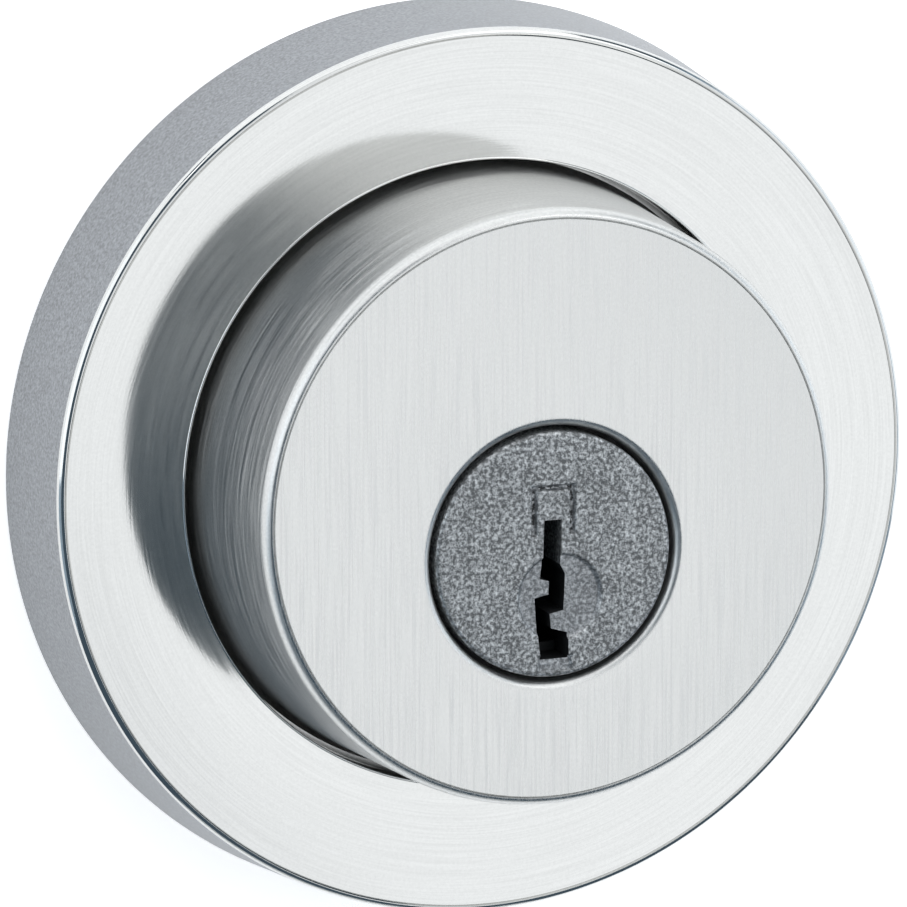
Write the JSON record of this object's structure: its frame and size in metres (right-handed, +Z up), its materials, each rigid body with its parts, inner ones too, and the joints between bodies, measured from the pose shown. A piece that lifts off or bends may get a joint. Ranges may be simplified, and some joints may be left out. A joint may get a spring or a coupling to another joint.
{
  "type": "deadbolt door lock",
  "caption": "Tubular deadbolt lockset with a round satin keyed trim, pin-tumbler cylinder, sliding bolt and inside thumbturn.",
  "frame": {"origin": "lock's turning axis (the door's cross bore) at the door's exterior face", "axes": "+Y into the door towards the inside, +Z up, the bolt throws towards -X"},
  "size_m": [0.0923, 0.0956, 0.0671],
  "materials": {
    "satin_chrome": "satin, brushed",
    "cast_plug_metal": "cast, matt with a coarse grain",
    "machined_brass": "machined",
    "black_zinc_casting": "black, matt",
    "white_nylon": "moulded",
    "spring_steel": "blued spring steel",
    "zinc_plated_steel": "bright zinc plate"
  },
  "bodies": {
    "lock_body": {"exterior_rose": "satin_chrome", "cylinder_collar": "satin_chrome", "exterior_base": "black_zinc_casting", "cylinder_clip": "spring_steel", "cylinder_housing": "black_zinc_casting", "spring_cover": "zinc_plated_steel", "pin_spring_1": "spring_steel", "pin_spring_2": "spring_steel", "pin_spring_3": "spring_steel", "pin_spring_4": "spring_steel", "pin_spring_5": "spring_steel", "latch_faceplate": "satin_chrome", "latch_backplate": "zinc_plated_steel", "faceplate_screw_upper": "zinc_plated_steel", "faceplate_screw_lower": "zinc_plated_steel", "latch_tube": "zinc_plated_steel", "latch_case_outer": "zinc_plated_steel", "latch_case_inner": "zinc_plated_steel", "case_spacer_1": "zinc_plated_steel", "case_spacer_2": "zinc_plated_steel", "case_spacer_3": "zinc_plated_steel", "detent_spring": "spring_steel", "mounting_plate": "zinc_plated_steel", "mounting_screw_left": "zinc_plated_steel", "mounting_screw_right": "zinc_plated_steel", "turn_bushing": "white_nylon", "turn_wave_washer": "spring_steel", "interior_rose": "satin_chrome", "rose_set_screw": "zinc_plated_steel"},
    "turn_assembly": {"thumbturn": "satin_chrome", "turn_retaining_clip": "spring_steel", "bolt_crank": "zinc_plated_steel", "tailpiece": "zinc_plated_steel"},
    "bolt": {"bolt": "satin_chrome", "anti_saw_pin": "zinc_plated_steel", "draw_bar": "zinc_plated_steel", "draw_bar_pin": "zinc_plated_steel"},
    "plug": {"plug": "cast_plug_metal", "plug_cap": "zinc_plated_steel"},
    "key_pin_1": {"key_pin_1": "machined_brass"},
    "key_pin_2": {"key_pin_2": "machined_brass"},
    "key_pin_3": {"key_pin_3": "machined_brass"},
    "key_pin_4": {"key_pin_4": "machined_brass"},
    "key_pin_5": {"key_pin_5": "machined_brass"},
    "driver_pin_1": {"driver_pin_1": "machined_brass"},
    "driver_pin_2": {"driver_pin_2": "machined_brass"},
    "driver_pin_3": {"driver_pin_3": "machined_brass"},
    "driver_pin_4": {"driver_pin_4": "machined_brass"},
    "driver_pin_5": {"driver_pin_5": "machined_brass"}
  },
  "joints": [
    {"name": "thumb_turn", "type": "hinge", "parent": "lock_body", "child": "turn_assembly", "pos_m": [0, 0, 0], "axis": [0, 1, 0], "range_deg": [0, 90]},
    {"name": "bolt_throw", "type": "slide", "parent": "lock_body", "child": "bolt", "axis": [-1, 0, 0], "range_m": [0, 0.0254]},
    {"name": "key_turn", "type": "hinge", "parent": "turn_assembly", "child": "plug", "pos_m": [0, 0, 0], "axis": [0, 1, 0], "range_deg": [-90, 0]},
    {"name": "key_pin_1_drop", "type": "slide", "parent": "plug", "child": "key_pin_1", "axis": [0, 0, 1], "range_m": [-0.00445, 0]},
    {"name": "key_pin_2_drop", "type": "slide", "parent": "plug", "child": "key_pin_2", "axis": [0, 0, 1], "range_m": [-0.00315, 0]},
    {"name": "key_pin_3_drop", "type": "slide", "parent": "plug", "child": "key_pin_3", "axis": [0, 0, 1], "range_m": [-0.00235, 0]},
    {"name": "key_pin_4_drop", "type": "slide", "parent": "plug", "child": "key_pin_4", "axis": [0, 0, 1], "range_m": [-0.00385, 0]},
    {"name": "key_pin_5_drop", "type": "slide", "parent": "plug", "child": "key_pin_5", "axis": [0, 0, 1], "range_m": [-0.00275, 0]},
    {"name": "driver_pin_1_lift", "type": "slide", "parent": "lock_body", "child": "driver_pin_1", "axis": [0, 0, 1], "range_m": [0, 0.0025], "stiffness_N_per_m": 80, "springref_m": -0.002, "deforming": ["pin_spring_1"]},
    {"name": "driver_pin_2_lift", "type": "slide", "parent": "lock_body", "child": "driver_pin_2", "axis": [0, 0, 1], "range_m": [0, 0.0025], "stiffness_N_per_m": 80, "springref_m": -0.002, "deforming": ["pin_spring_2"]},
    {"name": "driver_pin_3_lift", "type": "slide", "parent": "lock_body", "child": "driver_pin_3", "axis": [0, 0, 1], "range_m": [0, 0.0025], "stiffness_N_per_m": 80, "springref_m": -0.002, "deforming": ["pin_spring_3"]},
    {"name": "driver_pin_4_lift", "type": "slide", "parent": "lock_body", "child": "driver_pin_4", "axis": [0, 0, 1], "range_m": [0, 0.0025], "stiffness_N_per_m": 80, "springref_m": -0.002, "deforming": ["pin_spring_4"]},
    {"name": "driver_pin_5_lift", "type": "slide", "parent": "lock_body", "child": "driver_pin_5", "axis": [0, 0, 1], "range_m": [0, 0.0025], "stiffness_N_per_m": 80, "springref_m": -0.002, "deforming": ["pin_spring_5"]}
  ],
  "couplings": [
    {"joint": "bolt_throw", "follows": "thumb_turn", "m_per_rad": 0.01617}
  ]
}
